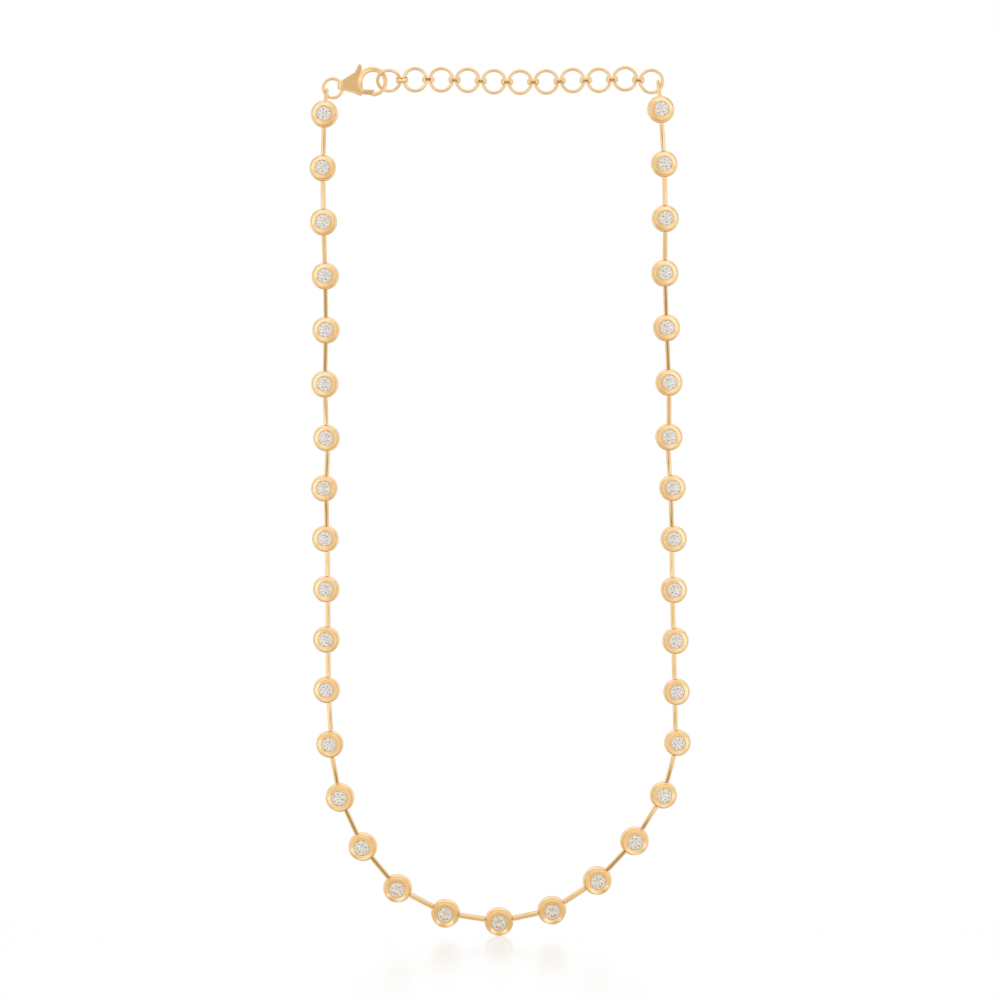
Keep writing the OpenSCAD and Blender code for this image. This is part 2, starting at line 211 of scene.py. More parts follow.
class StageSizes(bpy.types.PropertyGroup):
    """Floor, light and camera."""

    distance: length("Distance", "Camera to the plane of the necklace", 650)
    view_width: length("View", "Width of the view in the plane of the necklace", 209.5)
    view_x: length("View X", "Middle of the view across", 0.29, least=-1)
    view_z: length("View Z", "Middle of the view above the back strand", -87.86, least=-1)
    floor_gap: length("Floor gap", "Floor below the lowest setting", 0.05)
    floor_size: length("Floor", "Side of the square floor", 1600)
    mirror: amount("Mirror", "Share of the floor that mirrors the necklace", 0.30)
    fade: length("Fade", "Distance over which the mirror image fades", 110)
    # How far the painted shade on the mirrored floor reaches, and how far its darker part reaches.
    painted_shade_reach: length("Dim floor", "Distance over which the metal mirrors the floor", 120)
    painted_deep_shade_reach: length("Dark floor", "Distance over which the mirrored floor is darker still", 30)
    light: FloatProperty(
        name="Light", description="Brightness of the white surround", default=1.0, min=0
    )


class Wire:
    """A socket that takes part in sums written in Python."""

    def __init__(self, tree, socket):
        self.tree = tree
        self.socket = socket

    def sum(self, operation, first, second):
        return self.tree.node("ShaderNodeMath", {"operation": operation}, {0: first, 1: second})

    def __add__(self, other):
        return self.sum("ADD", self, other)

    __radd__ = __add__

    def __sub__(self, other):
        return self.sum("SUBTRACT", self, other)

    def __rsub__(self, other):
        return self.sum("SUBTRACT", other, self)

    def __mul__(self, other):
        return self.sum("MULTIPLY", self, other)

    __rmul__ = __mul__

    def __abs__(self):
        return self.sum("ABSOLUTE", self, 0)


class Tree:
    """Adds the nodes of one material or world."""

    def __init__(self, owner):
        owner.use_nodes = True
        self.tree = owner.node_tree
        self.tree.nodes.clear()

    def node(self, kind, settings=None, sockets=None, output=0):
        """Adds a node: its settings first, then the values or wires of its sockets."""
        made = self.tree.nodes.new(kind)
        for name, value in (settings or {}).items():
            if name == "stops":
                set_stops(made.color_ramp, value)
            else:
                setattr(made, name, value)
        for name, value in (sockets or {}).items():
            if isinstance(value, Wire):
                self.tree.links.new(value.socket, made.inputs[name])
            else:
                made.inputs[name].default_value = value
        return Wire(self, made.outputs[output]) if made.outputs else None

    def ramp(self, factor, stops):
        """Grey or coloured ramp over a factor, from places and colours."""
        return self.node("ShaderNodeValToRGB", {"stops": stops}, {"Fac": factor})

    def blend(self, factor, first, second):
        """Mixes two colours."""
        return self.node(
            "ShaderNodeMix", {"data_type": "RGBA"}, {0: factor, 6: first, 7: second}, output=2
        )

    def mix(self, factor, first, second):
        """Mixes two shaders."""
        return self.node("ShaderNodeMixShader", {}, {0: factor, 1: first, 2: second})

    def part(self, vector, axis):
        """One coordinate of a vector, named by its letter."""
        return self.node("ShaderNodeSeparateXYZ", {}, {0: vector}, output=axis)

    def noise(self, where, scale, detail=2, rough=0.5):
        """Noise from 0 to 1 on a vector."""
        sockets = {"Vector": where, "Scale": scale, "Detail": detail, "Roughness": rough}
        return self.node("ShaderNodeTexNoise", {}, sockets)


def set_stops(ramp, stops):
    """Puts a ramp's stops at their places; a number stands for a grey."""
    first, last = ramp.elements
    first.position, last.position = stops[0][0], stops[-1][0]
    for place, _ in stops[1:-1]:
        ramp.elements.new(place)
    for element, (_, shade) in zip(ramp.elements, stops):
        element.color = rgba((shade,) * 3 if isinstance(shade, (int, float)) else shade)


def rgba(shade):
    """A colour with full alpha."""
    return (*shade[:], 1)


def hairlines(tree, where, scale):
    """Thin scattered scratches, 1 on a scratch and 0 beside it."""
    bend = (0.3 * MM,) * 3
    bent = tree.noise(where, scale * 0.5, detail=1)
    sockets = {0: bent, 1: bend, 2: where}
    wander = tree.node("ShaderNodeVectorMath", {"operation": "MULTIPLY_ADD"}, sockets)
    sockets = {"Vector": wander, "Scale": scale}
    cells = tree.node("ShaderNodeTexVoronoi", {"feature": "DISTANCE_TO_EDGE"}, sockets)
    patches = tree.ramp(tree.noise(where, scale * 1.7), [(0.48, 0), (0.62, 1)])
    return tree.ramp(cells, [(0.0, 1), (0.022, 0)]) * patches


def started(name):
    """A new material, its tree and the places on the object."""
    material = bpy.data.materials.new(name)
    tree = Tree(material)
    return material, tree, tree.node("ShaderNodeTexCoord", output="Object")


# How often the patterns of the gold and the stones repeat in a metre.
CLOUDS = 420
SCRATCHES = 1500
RIPPLES = 900
BRUSHING = (5200, 2000, 700)
STONE_CLOUDS = 700
STONE_MARKS = 9000
FLOOR_GRAIN = 60
# Roughness that tone, brushing and polish marks add.
TONE_ROUGH = 0.04
BRUSH_ROUGH = 0.08
STONE_ROUGH = 0.03
MARK_ROUGH = 0.05
FLOOR_ROUGH = 0.16
# Shares of the wear that show as roughness and as depth, and the brushing's depth.
WEAR_ROUGH = 0.5
WEAR_DEPTH = 0.3
BRUSH_DEPTH = 0.1
# Where the clasp's brushed faces start.
BRUSHED_FROM = -33 * MM
CLOUDY_STONE = (0.93, 0.89, 0.83, 1)


def gold_finish(name, look, satin):
    """Gold: soft changes of tone, hairline scratches and a faint ripple of hand polishing.

    Satin gives the clasp's faces that look straight to the front or back a dull brushed grain.
    """
    material, tree, where = started(name)
    material.diffuse_color = rgba(look.light)
    tone = tree.ramp(tree.noise(where, CLOUDS, detail=3), [(0.38, 0), (0.68, 1)])
    scratches = hairlines(tree, where, SCRATCHES)
    ripple = tree.noise(where, RIPPLES, detail=1)
    metal = tree.blend(tone, rgba(look.light), rgba(look.deep))
    roughness = look.polish + tone * TONE_ROUGH + scratches * (look.wear * WEAR_ROUGH)
    height = ripple - scratches * (look.wear * WEAR_DEPTH)
    if satin:
        facing = tree.node("ShaderNodeNewGeometry", output="Normal")
        past = (tree.part(where, "X") - BRUSHED_FROM) * (1 / MM)
        flat = tree.ramp(abs(tree.part(facing, "Y")), [(0.975, 0), (0.992, 1)])
        flat = flat * tree.ramp(past, [(0.2, 0), (0.35, 1)])
        drawn = tree.node("ShaderNodeMapping", {}, {"Vector": where, "Scale": BRUSHING})
        brushed = tree.noise(drawn, 1, detail=3, rough=0.6)
        metal = tree.blend(flat * (0.75 + brushed * 0.35), metal, rgba(look.dull))
        roughness = roughness + flat * (look.satin - look.polish + brushed * BRUSH_ROUGH)
        height = height + flat * brushed * BRUSH_DEPTH
    sockets = {"Strength": 1.0, "Distance": look.ripple, "Height": height}
    normal = tree.node("ShaderNodeBump", {}, sockets)
    sockets = {"Base Color": metal, "Metallic": 1.0, "Roughness": roughness, "Normal": normal}
    shader = tree.node("ShaderNodeBsdfPrincipled", {}, sockets)
    tree.node("ShaderNodeOutputMaterial", {}, {"Surface": shader})
    return material


def stone_finish(look):
    """Near-colourless brilliant with faint inner clouds and polish marks on its facets."""
    material, tree, where = started("brilliant_white")
    material.diffuse_color = rgba(look.tint)
    clouds = tree.ramp(tree.noise(where, STONE_CLOUDS), [(0.45, 0), (0.75, 1)])
    marks = tree.noise(where, STONE_MARKS, detail=1)
    sockets = {
        "Base Color": tree.blend(clouds, rgba(look.tint), CLOUDY_STONE),
        "Transmission Weight": 1.0,
        "IOR": look.ior,
        "Roughness": STONE_ROUGH + marks * MARK_ROUGH,
    }
    shader = tree.node("ShaderNodeBsdfPrincipled", {}, sockets)
    tree.node("ShaderNodeOutputMaterial", {}, {"Surface": shader})
    return material


def finish_named(name="polished_gold"):
    """A shared gold, made when the first piece asks for it."""
    found = bpy.data.materials.get(name)
    if found:
        return found
    return gold_finish(name, bpy.context.scene.necklace_gold, satin=name == "clasp_satin_gold")


def shift(x, y, z):
    return Matrix.Translation((x, y, z))


def turn(angle, axis):
    return Matrix.Rotation(angle, 4, axis)


def shape_object(bm, name="shape"):
    """A linked object that holds the shape."""
    mesh = bpy.data.meshes.new(name)
    bm.to_mesh(mesh)
    bm.free()
    holder = bpy.data.objects.new(name, mesh)
    bpy.context.scene.collection.objects.link(holder)
    return holder


def modified(holder, *helpers):
    """The shape of an object with its modifiers applied; it and its helpers are removed."""
    graph = bpy.context.evaluated_depsgraph_get()
    mesh = bpy.data.meshes.new_from_object(holder.evaluated_get(graph))
    bm = bmesh.new()
    bm.from_mesh(mesh)
    for spent in (mesh, holder.data, *(helper.data for helper in helpers)):
        bpy.data.meshes.remove(spent)
    return bm


def combined(bm, tools):
    """Adds or cuts other shapes, in order, and gives the one closed result."""
    holder = shape_object(bm)
    helpers = []
    for operation, tool in tools:
        helper = shape_object(tool)
        helpers.append(helper)
        step = holder.modifiers.new(operation, "BOOLEAN")
        step.operation = operation
        step.object = helper
        step.solver = "EXACT"
    result = modified(holder, *helpers)
    if not result.faces:
        raise RuntimeError("a cut or join left nothing")
    return result


def piece(name, bm, finish, nodes, body="necklace", sharp=40):
    """Makes a shape a piece of the necklace, in place of its CAD nodes."""
    bmesh.ops.recalc_face_normals(bm, faces=bm.faces)
    made = shape_object(bm, name)
    made.data.materials.append(finish)
    made.data.shade_smooth()
    made.data.set_sharp_from_angle(angle=math.radians(sharp))
    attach(made, body)
    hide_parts(*nodes)


def block(low, high):
    """A box between two corners."""
    bm = bmesh.new()
    bmesh.ops.create_cube(bm, size=1)
    low, high = Vector(low), Vector(high)
    bmesh.ops.scale(bm, vec=high - low, verts=bm.verts)
    bmesh.ops.translate(bm, vec=(low + high) / 2, verts=bm.verts)
    return bm


def rod(diameter, depth, matrix, sides=32):
    """A straight round rod about Z, moved by a matrix."""
    bm = bmesh.new()
    size = {"radius1": diameter / 2, "radius2": diameter / 2, "depth": depth}
    bmesh.ops.create_cone(bm, cap_ends=True, segments=sides, matrix=matrix, **size)
    return bm


def closed_line(bm, places):
    """Joins places in a closed line and gives its edges."""
    verts = [bm.verts.new(place) for place in places]
    return [bm.edges.new((verts[i - 1], verts[i])) for i in range(len(verts))]


def spun_round(bm):
    """Spins a whole section once round the Y axis and joins the seam."""
    bmesh.ops.spin(
        bm, geom=bm.verts[:] + bm.edges[:], cent=(0, 0, 0), axis=Y_AXIS,
        angle=math.tau, steps=ROUND_STEPS, use_merge=True,
    )
    bmesh.ops.remove_doubles(bm, verts=bm.verts, dist=WELD)
    return bm


def spun_half(bm, edges, centre, steps):
    """Spins open edges half round a line along Z and gives the far ones."""
    ends = list(dict.fromkeys(v for e in edges for v in e.verts))
    spun = bmesh.ops.spin(
        bm, geom=edges + ends, cent=(centre, 0, 0), axis=Z_AXIS, angle=math.pi, steps=steps
    )
    return [g for g in spun["geom_last"] if isinstance(g, bmesh.types.BMEdge)]


def turned(outline):
    """Spins a closed outline of radius and height about the Y axis, heights toward -Y."""
    bm = bmesh.new()
    closed_line(bm, [(radius, -height, 0) for radius, height in outline])
    return spun_round(bm)


def wire_ring(diameter, wire):
    """A round wire ring in the XZ plane."""
    bm = bmesh.new()
    place = shift(diameter / 2, 0, 0)
    bmesh.ops.create_circle(bm, segments=WIRE_SIDES, radius=wire / 2, matrix=place)
    return spun_round(bm)


def merged(target, source):
    """Adds a shape to another and frees it."""
    mesh = bpy.data.meshes.new("part")
    source.to_mesh(mesh)
    source.free()
    target.from_mesh(mesh)
    bpy.data.meshes.remove(mesh)


def moved(bm, matrix):
    """Moves a whole shape and gives it back."""
    bmesh.ops.transform(bm, matrix=matrix, verts=bm.verts)
    return bm


def unevened(bm, depth, size, seed):
    """Moves the surface along its normals by smooth noise of the given size and depth."""
    bm.normal_update()
    place = Vector([seed * stride for stride in SEED_STRIDES])
    for vert in bm.verts:
        vert.co += vert.normal * depth * noise.noise(vert.co / size + place)


def along(angle):
    """Unit vector at that angle up from +X."""
    return Vector((math.cos(angle), 0, math.sin(angle)))


def angle_of(vector):
    return math.atan2(vector.z, vector.x)


def nearest_size(width, sizes):
    """The one of the three setting diameters that fits a measured width."""
    return min((sizes.small_d, sizes.medium_d, sizes.large_d), key=lambda d: abs(d - width))


class Station:
    """Place of one setting: middle, diameter and heading along the chain."""

    def __init__(self, number, sizes):
        self.number = number
        self.node = f"setting_{number:02d}"
        self.is_end = number in (1, STATION_COUNT)
        low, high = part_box(self.node)
        self.middle = (low + high) / 2
        self.middle.y = 0
        if self.is_end:
            self.diameter = nearest_size(high.x - low.x, sizes)
            foot = math.sqrt((self.diameter / 2) ** 2 - (sizes.slot_w / 2) ** 2)
            self.middle.z = low.z + foot
        else:
            self.diameter = nearest_size(max(high.x - low.x, high.z - low.z), sizes)


def stations(sizes):
    """All settings, each heading halfway between those of the bars beside it."""
    row = [Station(n + 1, sizes) for n in range(STATION_COUNT)]
    bars = [angle_of(there.middle - here.middle) for here, there in zip(row, row[1:])]
    for spot, before, after in zip(row, [bars[0], *bars], [*bars, bars[-1]]):
        spot.heading = (before + after) / 2
        spot.before, spot.after = before - spot.heading, after - spot.heading
        front, side = abs(math.cos(spot.heading)), abs(math.sin(spot.heading))
        spot.tip = sizes.front_tip * front + sizes.side_roll * side
    return row


def bar_inset(number, sizes):
    """How far a bar sits inside the line between its settings' middles."""
    return sizes.inset if min(number, STATION_COUNT - number) in SHORT_BARS else 0


def arc(middle, radius, start, end, steps):
    """Points on an arc round a middle at height 0, angles up from outward."""
    angles = [start + (end - start) * k / steps for k in range(steps + 1)]
    return [(middle + radius * math.cos(angle), radius * math.sin(angle)) for angle in angles]


def bowed(start, control, end, steps):
    """Points after the start on a smooth curve to the end, pulled toward a control point."""
    points = []
    for k in range(1, steps + 1):
        t = k / steps
        weights = ((1 - t) ** 2, 2 * t * (1 - t), t * t)
        pairs = list(zip(weights, (start, control, end)))
        points.append([sum(weight * point[i] for weight, point in pairs) for i in (0, 1)])
    return points


def bezel_outline(sizes):
    """Closed outline of the small setting: rounded rim, cup, domed front ring, lip and seat."""
    rim_r = sizes.small_d / 2 - sizes.rim_round
    cup_r = sizes.cup_d / 2
    crown_r = sizes.crown_d / 2
    lip_r = sizes.lip_d / 2
    seat_r = sizes.seat_d / 2
    hole_r = sizes.hole_d / 2
    soft = 0.05 * MM
    crease = sizes.crease
    groove_r = cup_r - crease / 2
    shoulder = math.acos((cup_r + crease / 2 - rim_r) / sizes.rim_round)
    shoulder_h = sizes.rim_round * math.sin(shoulder)
    back = -sizes.rim_round
    crown = (crown_r, sizes.crown_h)
    edge = (lip_r + 2 * soft, sizes.lip_h)
    dome = ((crown_r + edge[0]) / 2, (sizes.crown_h + sizes.lip_h) / 2 + 0.01 * MM)
    lip = (lip_r, sizes.seat_h + 0.15 * MM)
    return [
        (hole_r, back + soft),
        (hole_r + 0.3 * soft, back + 0.3 * soft),
        (hole_r + soft, back),
        *arc(rim_r, sizes.rim_round, -math.pi / 2, shoulder, steps=18),
        (groove_r, shoulder_h - crease),
        (groove_r, shoulder_h + crease),
        (cup_r, shoulder_h + 4 * crease),
        (cup_r, sizes.cup_h - soft),
        *bowed((cup_r, sizes.cup_h), (cup_r, sizes.crown_h), crown, steps=6),
        *bowed(crown, dome, edge, steps=8),
        *bowed(edge, (lip_r + soft, sizes.lip_h - soft / 2), lip, steps=4),
        (seat_r, sizes.seat_h),
        (seat_r, sizes.seat_h - 0.2 * MM),
        (hole_r, sizes.seat_h - 0.5 * MM),
    ]


def bezel(sizes, diameter, ends):
    """One setting round the origin; ends give each bar's angle and its inset along Z."""
    body = turned(bezel_outline(sizes))
    bmesh.ops.scale(body, vec=(diameter / sizes.small_d,) * 3, verts=body.verts)
    slot_low = (sizes.pin_r - 0.70 * MM, sizes.pin_back - 0.44 * MM, -sizes.slot_w / 2)
    slot_high = (4 * MM, 3 * MM, sizes.slot_w / 2)
    pin_length = sizes.slot_w + 0.5 * MM
    tools = []
    for end, inset in ends:
        side = shift(0, 0, inset) @ turn(end, "Y")
        tools.append(("DIFFERENCE", moved(block(slot_low, slot_high), side)))
        place = side @ shift(sizes.pin_r, sizes.pin_back, 0)
        tools.append(("UNION", rod(sizes.pin_d, pin_length, place, sides=16)))
    return combined(body, tools)


def end_loop(sizes, top, lean, twist):
    """Soldered wire loop standing toward +X: two legs and a bend."""
    bend = top - sizes.loop_wire / 2 - sizes.loop_gap / 2
    root = sizes.pin_r
    bm = bmesh.new()
    place = shift(root, -sizes.loop_gap / 2, 0) @ turn(math.pi / 2, "Y")
    bmesh.ops.create_circle(bm, segments=WIRE_SIDES, radius=sizes.loop_wire / 2, matrix=place)
    edges = extruded(bm, bm.edges[:], (bend - root, 0, 0))
    edges = spun_half(bm, edges, bend, steps=24)
    extruded(bm, edges, (root - bend, 0, 0))
    close_ends(bm)
    return moved(bm, turn(lean, "Y") @ turn(twist, "X"))


def close_ends(bm):
    """Fills the two round ends of a bent rod."""
    bmesh.ops.holes_fill(bm, edges=[e for e in bm.edges if e.is_boundary], sides=40)


def extruded(bm, edges, step):
    """Extrudes open edges by a step and gives the new ones."""
    made = bmesh.ops.extrude_edge_only(bm, edges=edges)["geom"]
    verts = [g for g in made if isinstance(g, bmesh.types.BMVert)]
    bmesh.ops.translate(bm, vec=step, verts=verts)
    return [g for g in made if isinstance(g, bmesh.types.BMEdge)]


# Lean of each end loop across the chain and twist about its own line, in degrees.
LOOPS = {1: (4, 22), STATION_COUNT: (-1.5, -22)}


class NECKLACE_OT_settings(bpy.types.Operator):
    """Makes the round settings, the pins across their slots and the two end loops"""

    bl_idname = "necklace.settings"
    bl_label = "Settings"

    def execute(self, context):
        sizes = context.scene.necklace_bezels
        bars = context.scene.necklace_bars
        look = context.scene.necklace_gold
        finish = finish_named()
        for spot in stations(sizes):
            ends = []
            if spot.number < STATION_COUNT:
                ends.append((-spot.after, bar_inset(spot.number, bars)))
            if spot.number > 1:
                ends.append((math.pi - spot.before, bar_inset(spot.number - 1, bars)))
            shape = bezel(sizes, spot.diameter, ends)
            if spot.is_end:
                shape = self.looped(sizes, spot, shape)
            unevened(shape, look.uneven, size=1.1 * MM, seed=spot.number)
            place = Matrix.Translation(spot.middle) @ turn(-spot.heading, "Y")
            moved(shape, place @ turn(spot.tip, "X"))
            name = f"bezel_{spot.number:02d}"
            piece(name, shape, finish, [spot.node], sharp=38)
        return {"FINISHED"}

    def looped(self, sizes, spot, shape):
        """Adds the soldered loop on the far side of an end setting."""
        first = spot.number == 1
        top = sizes.left_loop_top if first else sizes.right_loop_top
        loop = end_loop(sizes, top, *(math.radians(angle) for angle in LOOPS[spot.number]))
        if first:
            moved(loop, turn(math.pi, "Y"))
        return combined(shape, [("UNION", loop)])


class NECKLACE_OT_stones(bpy.types.Operator):
    """Gives the brilliants their clear, lightly included finish"""

    bl_idname = "necklace.stones"
    bl_label = "Stones"

    def execute(self, context):
        finish = stone_finish(context.scene.necklace_stones)
        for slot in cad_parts["stones"].material_slots:
            slot.material = finish
        return {"FINISHED"}


def bar(sizes, bezels, body, eyes, rims, inset):
    """One bar along X: ends hollowed to the rims beside it, a tang and an eye at each."""
    half = sizes.width / 2
    prism = block((-body / 2, -half, -half), (body / 2, half, half))
    long_edges = [e for e in prism.edges if reach(e, 0) > half]
    soften(prism, long_edges, sizes.chamfer, segments=1)
    soften(prism, prism.edges[:], sizes.softening, segments=2)
    through = 3 * MM
    tools = []
    for end, rim in ((0, rims[1]), (math.pi, rims[0])):
        hollow = shift(0, 0, -inset) @ turn(end, "Y") @ shift(eyes / 2 + bezels.pin_r, 0, 0)
        hollow = hollow @ turn(math.pi / 2, "X")
        cutter = rod(rim + 2 * sizes.end_gap, through, hollow, sides=ROUND_STEPS)
        tools.append(("DIFFERENCE", cutter))
    overlap = 0.05 * MM
    tang_low = (body / 2 - overlap, bezels.pin_back - sizes.tang_h / 2, -sizes.eye_t / 2)
    tang_high = (eyes / 2, bezels.pin_back + sizes.tang_h / 2, sizes.eye_t / 2)
    for end in (0, math.pi):
        side = turn(end, "Y")
        tools.append(("UNION", moved(block(tang_low, tang_high), side)))
        eye = side @ shift(eyes / 2, bezels.pin_back, 0)
        tools.append(("UNION", rod(sizes.eye_d, sizes.eye_t, eye)))
        tools.append(("DIFFERENCE", rod(sizes.eye_bore, MM, eye)))
    return combined(prism, tools)


def reach(edge, axis):
    """How far an edge runs along an axis, given by its number."""
    return abs(edge.verts[0].co[axis] - edge.verts[1].co[axis])


def soften(bm, edges, offset, segments):
    """Bevels edges."""
    bmesh.ops.bevel(
        bm, geom=edges, offset=offset, offset_type="OFFSET", segments=segments,
        profile=0.5, affect="EDGES", material=-1, clamp_overlap=True,
    )


class NECKLACE_OT_bars(bpy.types.Operator):
    """Makes the two rows of straight bars that join the settings"""

    bl_idname = "necklace.bars"
    bl_label = "Bars"

    def execute(self, context):
        bezels = context.scene.necklace_bezels
        sizes = context.scene.necklace_bars
        look = context.scene.necklace_gold
        row = stations(bezels)
        rows = {"left": bmesh.new(), "right": bmesh.new()}
        for number, (here, there) in enumerate(zip(row, row[1:]), start=1):
            run = there.middle - here.middle
            heading = angle_of(run)
            pins = run.length - 2 * bezels.pin_r
            rims = (here.diameter + there.diameter) / 2 - 2 * bezels.pin_r
            body = pins - rims + 2 * sizes.softening
            inset = bar_inset(number, sizes)
            shape = bar(sizes, bezels, body, pins, (here.diameter, there.diameter), inset)
            unevened(shape, look.uneven * 0.5, size=1.6 * MM, seed=number + 50)
            roll = math.radians(BAR_ROLL[min(number, STATION_COUNT - number) - 1])
            inward = Vector((-math.sin(heading), 0, math.cos(heading)))
            place = Matrix.Translation((here.middle + there.middle) / 2 + inward * inset)
            moved(shape, place @ turn(-heading, "Y") @ turn(roll, "X"))
            merged(rows["left" if number <= LAST_LEFT_BAR else "right"], shape)
        finish = finish_named()
        for side, shape in rows.items():
            piece(f"bar_row_{side}", shape, finish, [f"bars_{side}"], sharp=30)
        return {"FINISHED"}


def ring_spots(sizes):
    """Middle and tilt of each extender ring, read from the rings in the frame."""
    low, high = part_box("extender_rings")
    outside = sizes.ring_d + sizes.ring_wire
    first = low.x + outside / 2
    pitch = (high.x - low.x - outside) / (RING_COUNT - 1)
    groups = [[] for _ in range(RING_COUNT)]
    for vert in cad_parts["extender_rings"].data.vertices:
        groups[round((vert.co.x - first) / pitch)].append(vert.co)
    spots = []
    for group in groups:
        least, most = ([end(p[i] for p in group) for i in range(3)] for end in (min, max))
        depth = most[1] - least[1]
        tilt = math.asin(max(0, min(1, (depth - sizes.ring_wire) / sizes.ring_d)))
        middle = Vector(((least[0] + most[0]) / 2, 0, (least[2] + most[2]) / 2))
        spots.append((middle, tilt))
    return spots


def jump_ring_place():
    """The jump ring's middle in the frame, as a move."""
    low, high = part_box("jump_ring")
    return Matrix.Translation((low + high) / 2)


class NECKLACE_OT_rings(bpy.types.Operator):
    """Makes the extender's round rings and the jump ring"""

    bl_idname = "necklace.rings"
    bl_label = "Rings"

    def execute(self, context):
        sizes = context.scene.necklace_extender
        look = context.scene.necklace_gold
        finish = finish_named()
        row = bmesh.new()
        for number, (middle, tilt) in enumerate(ring_spots(sizes)):
            ring = wire_ring(sizes.ring_d, sizes.ring_wire)
            unevened(ring, look.uneven, size=1.3 * MM, seed=number + 90)
            merged(row, moved(ring, Matrix.Translation(middle) @ turn(tilt, "X")))
        piece("extender_ring_row", row, finish, ["extender_rings"])
        ring = wire_ring(sizes.jump_d, sizes.jump_wire)
        unevened(ring, look.uneven, size=1.3 * MM, seed=7)
        moved(ring, jump_ring_place())
        piece("jump_ring_wire", ring, finish, ["jump_ring"])
        return {"FINISHED"}


def link_width(sizes, x):
    """Width of a link at a place along it: full at the ends, waisted in the middle."""
    outer = sizes.link_open / 2 + sizes.link_band
    neck = (abs(x) - sizes.neck_start) / (sizes.neck_end - sizes.neck_start)
    neck = max(0, min(1, neck))
    neck = neck * neck * (3 - 2 * neck)
    past = min(1, max(0, abs(x) - outer + sizes.link_corner) / sizes.link_corner)
    flattened = 0.9
    corner = sizes.link_corner * (1 - math.sqrt(1 - past * past)) * flattened
    return sizes.link_waist + (sizes.link_w - sizes.link_waist) * neck - 2 * corner


def band_link(sizes):
    """Folded band link: length along X, opening through Y, band's width along Z."""
    inner = sizes.link_depth / 2
    outer = inner + sizes.link_band
    straight = sizes.link_open / 2 - inner
    half = sizes.link_w / 2
    bm = bmesh.new()
    corners = [(-outer, -half), (-outer, half), (-inner, half), (-inner, -half)]
    edges = closed_line(bm, [(-straight, y, z) for y, z in corners])
    for end in (1, -1):
        for _ in range(10):
            edges = extruded(bm, edges, (end * straight / 5, 0, 0))
        edges = spun_half(bm, edges, end * straight, steps=20)
    bmesh.ops.remove_doubles(bm, verts=bm.verts, dist=2 * WELD)
    for vert in bm.verts:
        vert.co.z *= link_width(sizes, vert.co.x) / sizes.link_w
    bmesh.ops.recalc_face_normals(bm, faces=bm.faces)
    corner_edges = [e for e in bm.edges if e.calc_face_angle(0) > math.radians(50)]
    soften(bm, corner_edges, offset=0.06 * MM, segments=3)
    return bm


class NECKLACE_OT_links(bpy.types.Operator):
    """Makes the folded band links between the extender's rings"""

    bl_idname = "necklace.links"
    bl_label = "Links"

    def execute(self, context):
        sizes = context.scene.necklace_extender
        look = context.scene.necklace_gold
        spots = ring_spots(sizes)
        row = bmesh.new()
        for number, ((here, tilt), (there, next_tilt)) in enumerate(zip(spots, spots[1:])):
            link = band_link(sizes)
            unevened(link, look.uneven * 0.6, size=0.8 * MM, seed=number + 130)
            place = Matrix.Translation((here + there) / 2) @ turn(-angle_of(there - here), "Y")
            merged(row, moved(link, place @ turn((tilt + next_tilt) / 2, "X")))
        piece("extender_link_row", row, finish_named(), ["extender_links"])
        return {"FINISHED"}


# Tapered hook with the ridge it runs out in: degrees up from +X round the hook's middle, inside
# and outside radius, half the depth at each, all in millimetres, and squareness of the section.
HOOK = [
    (-96.5, 2.58, 2.78, 0.10, 0.10, 0), (-95.5, 2.46, 2.88, 0.24, 0.24, 0),
    (-93, 2.34, 2.99, 0.35, 0.35, 0), (-88, 2.28, 3.05, 0.40, 0.40, 0),
    (-60, 2.27, 3.10, 0.42, 0.42, 0), (0, 2.27, 3.12, 0.42, 0.42, 0),
    (40, 2.20, 3.15, 0.44, 0.44, 0), (70, 2.12, 3.19, 0.47, 0.50, 0.1),
    (95, 2.05, 3.20, 0.52, 0.60, 0.2), (120, 2.01, 3.20, 0.66, 0.80, 0.5),
    (145, 2.01, 3.17, 0.84, 1.06, 0.8), (165, 2.02, 3.14, 0.92, 1.24, 1),
    (185, 2.06, 3.10, 0.94, 1.28, 1), (200, 2.18, 3.08, 0.94, 1.28, 1),
    (215, 2.40, 3.08, 0.98, 1.24, 1), (228, 2.66, 3.04, 1.04, 1.18, 1),
    (233, 2.80, 2.98, 0.95, 1.0, 1),
]
HOOK_AT = (-26.40, -0.26)
# The face where the lever meets the hook: its place, and its slope in degrees.
GATE_AT = (-26.55, -3.14)
GATE_SLOPE = 56
# Rounds of smoothing that the castings get.
BODY_POLISH = 5
LEVER_POLISH = 9

# Outlines in X and Z, in millimetres: the body's wedge, the slot that the lever moves in, and the
# fin that opens the lever.
BODY = [
    (-32.74, 0.02), (-29.95, 1.68), (-28.95, 1.40), (-29.25, 0.50), (-29.36, -0.26),
    (-29.25, -1.02), (-28.95, -1.74), (-28.50, -2.36), (-28.60, -2.98), (-28.98, -3.12),
    (-32.74, -1.98),
]
LEVER_SLOT = [
    (-30.00, -2.20), (-30.10, -0.60), (-31.25, 1.00), (-31.25, 3.50), (-28.98, 3.50),
    (-28.98, -0.62), (-28.20, -0.85), (-27.20, -0.85), (-27.20, -4.00), (-29.60, -4.00),
]
FIN = [
    (-29.72, -1.10), (-29.75, 0.80), (-30.20, 1.70), (-29.82, 2.45), (-29.50, 3.10),
    (-29.22, 3.46), (-28.90, 3.44), (-28.68, 3.10), (-28.60, 2.40), (-28.92, 1.50),
    (-29.00, -1.10),
]


